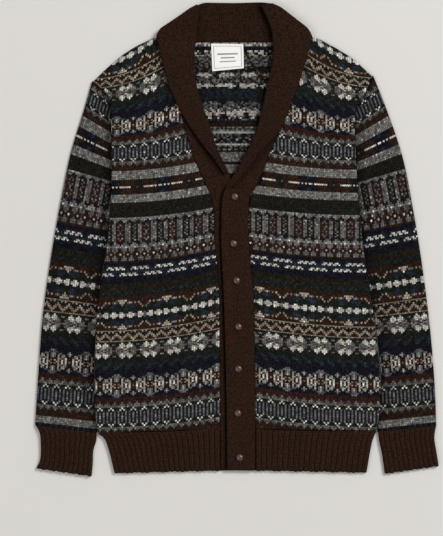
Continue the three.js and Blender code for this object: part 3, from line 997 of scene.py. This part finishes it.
def back_piece():
    rows = pattern_rows(*BACK_STRETCH, BODY_FOOT)
    level = levels(rows) - BACK_DROP
    shown = inside_rows(rows)
    rng = random.Random(BACK_SEED)

    def layer(z, colour, step, start, shaded):
        bm, ij, cells = grid(int(2 * BACK_HALF / STITCH), len(rows))
        i, j = ij[:, 0], ij[:, 1]
        y = level[j]
        low = side_x["right"](y) + PIECE_CLEAR
        high = side_x["left"](y) - PIECE_CLEAR
        x = np.clip(-BACK_HALF + i * STITCH, low, high)
        y = np.clip(y, hem_top_y(x) + PIECE_CLEAR, neck_y(x) - PIECE_CLEAR)
        shade = shade_by(FOLD_LEFT, x, y, *BACK_SHADE) if shaded else None
        face_data(bm, ij, cells, colour, step, start, shade)
        place(bm, x, y, np.full(len(x), z))
        drop_thin(bm)
        return bm

    def floats(column, row):
        letters = shown[row]
        near = column + rng.choice(FLOAT_MOVES) if rng.random() < FLOAT_SWAP else column
        return heather(letters[near % len(letters)], rng, FLOAT_TONE)

    def pattern(column, row):
        letters = rows[row][1]
        return heather(letters[column % len(letters)], rng)

    inner = layer(WALL, floats, FLOAT_STEP, FLOAT_START, True)
    outer = layer(0.0, pattern, (1.0, 1.0), 0.0, False)
    rim(inner, 0.0)
    join(inner, outer)
    finish_mesh(inner, "back", knit)


# Sleeves: a flattened tube, a cell for each leg on top and for each stitch below
SLEEVE_STRETCH = (-330, 200)
SLEEVE_REACH = 130
SLEEVE_FOLD = 6
SLEEVE_PHASE = 2
SLEEVE_SEED = {"right": 17, "left": 23}
# Painted shade along a sleeve's edge that lies beside the body: depth as a share for each side, and
# reach in mm
SLEEVE_SHADE = {"right": 0.7, "left": 0.42}
SHADE_REACH = 13.0
# Rounds that settle where a tilted row meets the body, and a length that no row reaches
TILT_ROUNDS = 12
FAR = 200


def sleeve(side):
    sign = SIGN[side]
    y_column = COL[side][1]
    outer = across_at(SLEEVE_OUTER, *COL[side])
    below = across_at(SLEEVE_INNER, *COL[side])
    arm = SLEEVE_INNER[0][y_column]
    top_y = SLEEVE_OUTER[0][y_column]
    rows = pattern_rows(*SLEEVE_STRETCH, SLEEVE_FOOT)
    level = read_off(SLEEVE_ROWS, 1, levels(rows))
    out_x, out_y, in_x, in_y = CUFF[side][0]

    def inner_x(y):
        return np.where(y > arm, side_x[side](y), below(y)) + sign * SLEEVE_CLEAR

    def wrist(x):
        return between(out_y, in_y, (x - out_x) / (in_x - out_x)) + PIECE_CLEAR

    def layer(upper, colour):
        legs = int(2 * SLEEVE_REACH / STITCH)
        bm, ij, cells = grid(legs if upper else legs // 2, len(rows))
        i, j = ij[:, 0], ij[:, 1]
        y_out = np.clip(level[j], out_y - ROW, top_y)
        x_out = outer(y_out)
        tilt = np.radians(read_off(SLEEVE_TILT, 1, y_out))
        most = np.abs(inner_x(y_out) - x_out)
        for _ in range(TILT_ROUNDS):
            y_in = y_out - most * np.sin(tilt)
            most = np.clip(np.abs(inner_x(y_in) - x_out) / np.cos(tilt), 0.0, FAR)
        u = i * (STITCH / 2 if upper else STITCH)
        v = np.minimum(u, most)
        x = x_out - sign * v * np.cos(tilt)
        zig = np.where((i % 2 == 1) & (u < most) & upper, ROW / 2, 0)
        y = np.maximum(y_out - v * np.sin(tilt) - zig, wrist(x))
        # Round at the outer fold and under the arm, open at the armhole
        inside = np.minimum(v, most - v + FAR * (y > arm))
        ends = np.minimum.reduce([v, most - v, y - wrist(x) + WALL])
        share = quarter_round(inside, SLEEVE_FOLD)
        if upper:
            z = LOWER + (LOWER + rise(x, y, ends)) * share + rounded(most - v + FAR * (y < arm))
        else:
            z = LOWER - LOWER * share
        # Painted shade along the edge beside the body
        shade = dark_beside(np.maximum(most - v, 0), SHADE_REACH, SLEEVE_SHADE[side])
        face_data(bm, ij, cells, colour, step=(0.5 if upper else 1.0, 1.0), shade=shade)
        place(bm, x, y, z)
        drop_thin(bm)
        return bm

    colour = stitch_colours(rows, SLEEVE_PHASE, SLEEVE_SEED[side], SLEEVE_TONE)
    top = layer(True, colour)
    join(top, layer(False, lambda column, row: colour(column, row, 1)))
    finish_mesh(top, "sleeve_" + side, knit, flip=side == "left")


# Pieces between two lines: s runs across, t along
def along(line, t):
    seg = np.hypot(*np.diff(line, axis=0).T)
    share = np.concatenate([[0], np.cumsum(seg)]) / seg.sum()
    return np.interp(t, share, line[:, 0]), np.interp(t, share, line[:, 1])


def across_lines(first, second, s, t):
    """Points between two lines: x, y and how wide the piece is there."""
    ax, ay = along(first, t)
    bx, by = along(second, t)
    return between(ax, bx, s), between(ay, by, s), np.hypot(bx - ax, by - ay)


def sheet_grid(m, n):
    """A grid with the share of its width and of its length for each vertex."""
    bm, ij, cells = grid(m, n)
    return bm, ij, cells, ij[:, 0] / m, ij[:, 1] / n


# Ribs of two wales each, with the nicks and the sway of their free edge
RIB_CELLS = 8
RIB_ROWS = 26
RIB_HEIGHT = 1.5
RIB_LENGTH = 70
RIB_SHAPE = 0.65
RIB_START = 0.1
RIB_NICK = -0.9
RIB_SWAY = 0.5
SWAY_RATE = 37.0
NICKED_SHARE = 0.2
CUFF_FOLD = 5
CUFF_SWELL = 0.2
CUFF_RIBS = 11
HEM_RIBS = 21
HEM_SEAM = {"right": -28.4, "left": 30.4}
HEM_TOP = -313.5
HEM_END = -381.5
HEM_CLEAR = 0.6
HEM_BOW = 5.0
HEM_BACK_CELLS = (40, 20)


def ribbed(name, left_line, right_line, count, tube=False, top_curve=None):
    """A rib between two side lines: round ribs with narrow valleys."""
    m = count * RIB_CELLS
    bm, ij, cells, s, t = sheet_grid(m, RIB_ROWS)
    x, y, width = across_lines(left_line, right_line, s, t)
    ridge = (0.5 - 0.5 * np.cos(2 * np.pi * s * count)) ** RIB_SHAPE
    sway = RIB_SWAY * np.sin(s * SWAY_RATE) * t
    if top_curve is not None:
        y = y + top_curve(x) * (1 - t)
    y = y + (ridge * RIB_NICK + sway) * ease(t, 1 - NICKED_SHARE, NICKED_SHARE)
    inside = np.minimum(s, 1 - s) * width
    ends = np.minimum(t, 1 - t) * RIB_LENGTH
    raised = RIB_HEIGHT * ridge * smooth(t / RIB_START)
    face_data(bm, ij, cells, step=(2.0 / RIB_CELLS, 1.0))
    if tube:
        z = LOWER + (LOWER + CUFF_SWELL + raised) * quarter_round(inside, CUFF_FOLD)
        place(bm, x, y, z + rounded(ends, RIB_ROUND))
        under, ij, cells, s, t = sheet_grid(m // 4, RIB_ROWS)
        x, y, width = across_lines(left_line, right_line, s, t)
        face_data(under, ij, cells, step=(1.0, 1.0))
        share = quarter_round(np.minimum(s, 1 - s) * width, CUFF_FOLD)
        place(under, x, y, LOWER * (1 - share))
        join(bm, under)
    else:
        ends = np.where(t < 0.5, ends * SEAM_FLAT, ends)
        z = LOWER + WALL + raised + rounded(np.minimum(inside, ends), RIB_ROUND)
        place(bm, x, y, z)
        rim(bm, LOWER + SINK, BROWN_EDGE_SHADE)
        weld(bm)
        close(bm, BROWN_EDGE_SHADE)
    finish_mesh(bm, name, rib_wool, flip=tube)


def hem_front(side):
    """A front's rib, whose start follows the lower edge of the body."""
    seam = HEM_SEAM[side]
    corner_x, corner_y = (HEM[0][c] for c in COL[side])

    def bow(x):
        straight = HEM_TOP + (corner_y - HEM_TOP) * (x - seam) / (corner_x - seam)
        return np.where(abs(x) < abs(corner_x), hem_top_y(x) - HEM_CLEAR - straight, 0)

    outer = spline(columns(HEM, *COL[side]))
    inner = np.array([(seam, HEM_TOP), (seam, HEM_END)])
    ribbed("hem_" + side, outer, inner, HEM_RIBS, top_curve=bow)


def hem_back():
    """The back's rib: a flat slab, of which only the edge is seen."""
    bm, ij, cells, s, t = sheet_grid(*HEM_BACK_CELLS)
    x, y, _ = across_lines(spline(columns(HEM, 0, 1)), spline(columns(HEM, 2, 3)), s, t)
    y = y + HEM_BOW * (1 - (2 * s - 1) ** 2) * (1 - 0.2 * t) - HEM_CLEAR
    face_data(bm, ij, cells, step=(2.0, 1.0))
    place(bm, x, y, np.full(len(x), WALL))
    lower = bmesh.ops.duplicate(bm, geom=bm.faces[:] + bm.edges[:] + bm.verts[:])["geom"]
    for v in lower:
        if isinstance(v, bmesh.types.BMVert):
            v.co.z = 0
    bmesh.ops.reverse_faces(bm, faces=[f for f in lower if isinstance(f, bmesh.types.BMFace)])
    edges = [e for e in bm.edges if e.is_boundary]
    tint_faces(bm, bmesh.ops.bridge_loops(bm, edges=edges)["faces"], BROWN_EDGE_SHADE)
    bmesh.ops.recalc_face_normals(bm, faces=bm.faces)
    finish_mesh(bm, "hem_back", rib_wool)


def cuff(side):
    outer = spline(columns(CUFF[side], 0, 1))
    inner = spline(columns(CUFF[side], 2, 3))
    first, second = (outer, inner) if side == "right" else (inner, outer)
    ribbed("cuff_" + side, first, second, CUFF_RIBS, tube=True)


# Button bands
BAND_CELLS = (24, 240)
BAND_INSET = 0.008
BAND_HEAD = 4
BAND_RIPPLE = 0.15
RIPPLE_RATE = 61
# Curl of the top band's free edge, and the shares of its width and length over which it comes up
BAND_CURL = 1.2
CURL_ACROSS = 0.3
CURL_ALONG = 0.1
# Where the top band steps down to the front: start and share, across and along
STEP_ACROSS = (0.86, 0.12)
STEP_ALONG = (0.01, 0.08)
# Shade on the under band along the top one's edge: reach in mm, depth as a share
BAND_SHADE = (4.2, 0.85)


def band(name, first, second, under, curl=0.0, over=None):
    """A band between two lines, on a surface; another band's edge may lie over it, and then casts a
    painted shadow on it.
    """
    m, n = BAND_CELLS
    bm, ij, cells, s, t = sheet_grid(m, n)
    x, _, _ = across_lines(first, second, BAND_INSET + (1 - 2 * BAND_INSET) * s, t)
    _, y, _ = across_lines(first, second, s, t)
    inside = np.minimum.reduce([
        s * BAND_WIDTH,
        (1 - s) * BAND_WIDTH,
        t * BAND_LENGTH + BAND_HEAD,
        (1 - t) * BAND_LENGTH,
    ])
    z = under(s, t) + WALL + rounded(inside, BAND_ROUND)
    z = z + BAND_RIPPLE * np.sin(t * RIPPLE_RATE + s * 2)
    z = z + curl * smooth(1 - s / CURL_ACROSS) * smooth(t / CURL_ALONG)
    shade = shade_by(over, x, y, *BAND_SHADE) if over is not None else None
    step = (BAND_WIDTH / m / BAND_STITCH, BAND_LENGTH / n / BAND_ROW)
    face_data(bm, ij, cells, step=step, shade=shade)
    place(bm, x, y, z)
    rim(bm, LOWER, BROWN_EDGE_SHADE)
    close(bm, BROWN_EDGE_SHADE)
    finish_mesh(bm, name, band_wool)


def bands():
    def on_front(s, t):
        return np.full(len(s), LOWER)

    def on_band(s, t):
        """Two layers up, and one layer lower beside the seam with the front."""
        return THIRD - LOWER * ease(s, *STEP_ACROSS) * ease(t, *STEP_ALONG)

    seam, free = spline(columns(BAND_UNDER, 0, 1)), spline(columns(BAND_UNDER, 2, 3))
    band("band_right", seam, free, on_front, over=spline(columns(BAND_TOP, 0, 1), 4))
    free, seam = spline(columns(BAND_TOP, 0, 1)), spline(columns(BAND_TOP, 2, 3))
    band("band_left", free, seam, on_band, curl=BAND_CURL)


# Collar: the stand below, the fall above, and a round fold between them
DOUBLE = THIRD - GAP
TABLE_STEPS = 10
UNDER_CELLS = 10
FOLD_CELLS = 8
FALL_CELLS = 22
STAND_CELLS = 12
COLLAR_STEP = (1.25, 1.6)
COLLAR_PLUMP = 1.5
FALL_GROWS = 0.16
FALL_WIDE = 30
# Painted shadow on the stand beside the fall's outer edge: depth as a share for each side, and reach
# in mm
FALL_SHADE = {"right": 0.9, "left": 0.45}
FALL_REACH = 9.0
STAND_END = 0.95
# Behind the neck the stand is painted darker all over as shade, and gets a painted shadow beside the
# left fold: reach in mm, depth as a share
STAND_PAINTED_DIM = 0.86
STAND_SHADE = (9.0, 0.6)
STAND_HIDDEN = 7


def folded(name, rows, plump=0.0, grows=0.0, dim=0.0, beside=None):
    """Two walls round a fold; over the first share of its length the fall rises out of one wall."""
    table = np.array(rows, float)
    last = len(rows) - 1
    n = last * TABLE_STEPS
    lines = []
    for column in table.T:
        line = spline(list(enumerate(column)), TABLE_STEPS)[:, 1]
        lines.append(np.interp(np.linspace(0, last, n + 1), np.linspace(0, last, len(line)), line))
    fold_end = UNDER_CELLS + FOLD_CELLS
    top_end = fold_end + FALL_CELLS
    bm, ij, cells = grid(top_end + 4 + STAND_CELLS, n)
    i, j = ij[:, 0], ij[:, 1]
    sx, sy, fx, fy, ex, ey, base = [line[j] for line in lines]
    away = np.hypot(fx - sx, fy - sy)
    ox, oy = (fx - sx) / away, (fy - sy) / away
    sx, sy = sx + ox * COLLAR_CLEAR, sy + oy * COLLAR_CLEAR
    grown = smooth(j / n / grows) if grows else np.ones(len(j))
    tall = WALL + (DOUBLE - WALL) * grown
    scale = tall / DOUBLE
    nose = tall / 2
    cx, cy = fx - ox * nose, fy - oy * nose
    x, y, z = np.zeros(len(i)), np.zeros(len(i)), np.zeros(len(i))

    def put(where, xs, ys, zs):
        x[where], y[where], z[where] = xs[where], ys[where], zs[where]

    # Underside, seam to fold
    k = i / UNDER_CELLS
    put(i <= UNDER_CELLS, between(sx, cx, k), between(sy, cy, k), base)
    # Fold
    angle = np.radians(-90 + 180 * (i - UNDER_CELLS) / FOLD_CELLS)
    out = nose * np.cos(angle)
    up = nose + nose * np.sin(angle) + grown * plump * smooth(0.5 + angle / np.pi)
    put((i > UNDER_CELLS) & (i <= fold_end), cx + ox * out, cy + oy * out, base + up)
    # Fall, fold to outer edge, with a rounded edge
    k = np.clip((i - fold_end) / FALL_CELLS, 0, 1)
    width = np.hypot(ex - cx, ey - cy)
    swell = grown * plump * (1 + 0.5 * np.sin(np.pi * k)) * np.clip(width / FALL_WIDE, 0.3, 1)
    up = tall + swell + grown * rounded((1 - k) * width, COLLAR_ROUND)
    put((i > fold_end) & (i <= top_end), between(cx, ex, k), between(cy, ey, k), base + up)
    # Underside of the fall, then the stand back to its seam
    back = i - top_end
    for step, share in ((1, 0), (2, STAND_END)):
        up = (WALL + GAP) * scale
        put(back == step, between(ex, cx, share), between(ey, cy, share), base + up)
    share = STAND_END * (1 - np.clip((back - 3) / STAND_CELLS, 0, 1))
    stand = WALL * between(scale, 1, 1 - share / STAND_END)
    up = np.where(back > 3 + STAND_CELLS, 0, stand)
    put(back >= 3, between(sx, cx, share), between(sy, cy, share), base + up)
    # Painted shadow on the stand beside the fall's outer edge
    shade = np.where(back >= 3, dark_beside(np.hypot(x - ex, y - ey), FALL_REACH, dim), 1.0)
    # Behind the neck: painted shade all over, and a painted shadow beside the left fold
    if beside is not None:
        shade = STAND_PAINTED_DIM * shade_by(beside, x, y, *STAND_SHADE)
    face_data(bm, ij, cells, step=COLLAR_STEP, shade=shade)
    place(bm, x, y, z)
    weld(bm)
    close(bm, BROWN_EDGE_SHADE)
    finish_mesh(bm, name, band_wool)


def collar_side(side):
    name = "collar_" + side
    folded(name, COLLAR[side], plump=COLLAR_PLUMP, grows=FALL_GROWS, dim=FALL_SHADE[side])


def collar_back():
    rows = [(x, seam + STAND_HIDDEN, x, fold, x, seam, 0) for x, seam, fold in COLLAR_BACK]
    folded("collar_back", rows, beside=FOLD_LEFT)


BUTTON_RADIUS = 5.8
BUTTON_HEIGHT = 4.2
BUTTON_STEPS = 40
# Outline of a button, from the top of its dome to its base. Columns: shares of radius and height
DOME = [
    (0, 1),
    (0.25, 0.985),
    (0.5, 0.9),
    (0.72, 0.76),
    (0.88, 0.56),
    (0.97, 0.36),
    (1, 0.2),
    (0.97, 0.08),
    (0.9, 0),
    (0, 0),
]


def button(index, x, y):
    bm = bmesh.new()
    base = THIRD + WALL + GAP
    verts = []
    for out, up in DOME:
        corner = (x + BUTTON_RADIUS * out, y, base + BUTTON_HEIGHT * up)
        verts.append(bm.verts.new([v * MM for v in corner]))
    edges = [bm.edges.new(pair) for pair in zip(verts, verts[1:])]
    bmesh.ops.spin(
        bm,
        geom=verts + edges,
        cent=(x * MM, y * MM, 0),
        axis=(0, 0, 1),
        angle=2 * math.pi,
        steps=BUTTON_STEPS,
        use_merge=True,
    )
    weld(bm)
    bmesh.ops.recalc_face_normals(bm, faces=bm.faces)
    finish_mesh(bm, "button_" + str(index), button_mat)


LABEL_CELLS = (24, 20)
LABEL_THICK = 0.6
LABEL_RIPPLE = 0.25


def label_piece():
    m, n = LABEL_CELLS
    bm, ij, cells, s, t = sheet_grid(m, n)
    a, b, c, d = (np.array([p], float) for p in LABEL)
    top = between(a, b, s[:, None])
    low = between(d, c, s[:, None])
    x, y = between(low, top, t[:, None]).T
    z = WALL + GAP + LABEL_THICK + LABEL_RIPPLE * np.sin(s * 5) * np.sin(t * 3)
    face_data(bm, ij, cells, step=(1 / m, 1 / n))
    place(bm, x, y, z)
    rim(bm, WALL + GAP)
    close(bm)
    finish_mesh(bm, "label", label_mat)


button_mat = button_material()
label_mat = label_material()

front("right")
front("left")
back_piece()
sleeve("right")
sleeve("left")
hem_front("right")
hem_front("left")
hem_back()
cuff("right")
cuff("left")
bands()
collar_side("right")
collar_side("left")
collar_back()
for index, (x, y) in enumerate(BUTTONS, 1):
    button(index, x, y)
label_piece()

# Floor, lights and camera
FLOOR_SIZE = 6.0
FLOOR_DROP = 0.0004
# Round lights, aimed at the middle. Columns: name, place and size in metres, power in watts
LIGHTS = [
    ("key", (4.0, 2.9, 5.0), 2.4, 350),
    ("fill", (-2.4, -1.4, 3.6), 3.0, 40),
]


def floor():
    bm = bmesh.new()
    bmesh.ops.create_grid(bm, x_segments=1, y_segments=1, size=FLOOR_SIZE)
    mesh = bpy.data.meshes.new("floor")
    bm.to_mesh(mesh)
    bm.free()
    mat = material("floor")
    surface(mat, {"Base Color": (0.68, 0.657, 0.622, 1), "Roughness": 0.95, "Specular IOR Level": 0.1})
    mesh.materials.append(mat)
    ob = bpy.data.objects.new("floor", mesh)
    ob.location.z = -FLOOR_DROP
    bpy.context.scene.collection.objects.link(ob)


floor()
scene = bpy.context.scene
scene.view_settings.view_transform = "Standard"
world = bpy.data.worlds.new("studio")
scene.world = world
world.use_nodes = True
world.node_tree.nodes["Background"].inputs["Color"].default_value = (0.98, 0.99, 1.0, 1)
world.node_tree.nodes["Background"].inputs["Strength"].default_value = 0.42

for name, where, size, power in LIGHTS:
    lamp = bpy.data.lights.new(name, "AREA")
    lamp.shape = "DISK"
    lamp.size = size
    lamp.energy = power
    lamp_ob = bpy.data.objects.new(name, lamp)
    lamp_ob.location = where
    pitch = math.atan2(math.hypot(where[0], where[1]), where[2])
    yaw = math.atan2(-where[1], -where[0])
    lamp_ob.rotation_euler = (pitch, 0, yaw - math.pi / 2)
    scene.collection.objects.link(lamp_ob)

# Straight down, framed as the picture is: 731 by 884 mm around a point left of and below the middle
FRAME_HEIGHT = 0.8844
FRAME_CENTRE = (-0.0259, -0.0483)
DISTANCE = 3.0
SENSOR = 36
cam = bpy.data.cameras.new("camera")
cam.sensor_fit = "VERTICAL"
cam.sensor_height = SENSOR
cam.lens = SENSOR * DISTANCE / FRAME_HEIGHT
cam_ob = bpy.data.objects.new("camera", cam)
cam_ob.location = (FRAME_CENTRE[0], FRAME_CENTRE[1], DISTANCE)
scene.collection.objects.link(cam_ob)
scene.camera = cam_ob
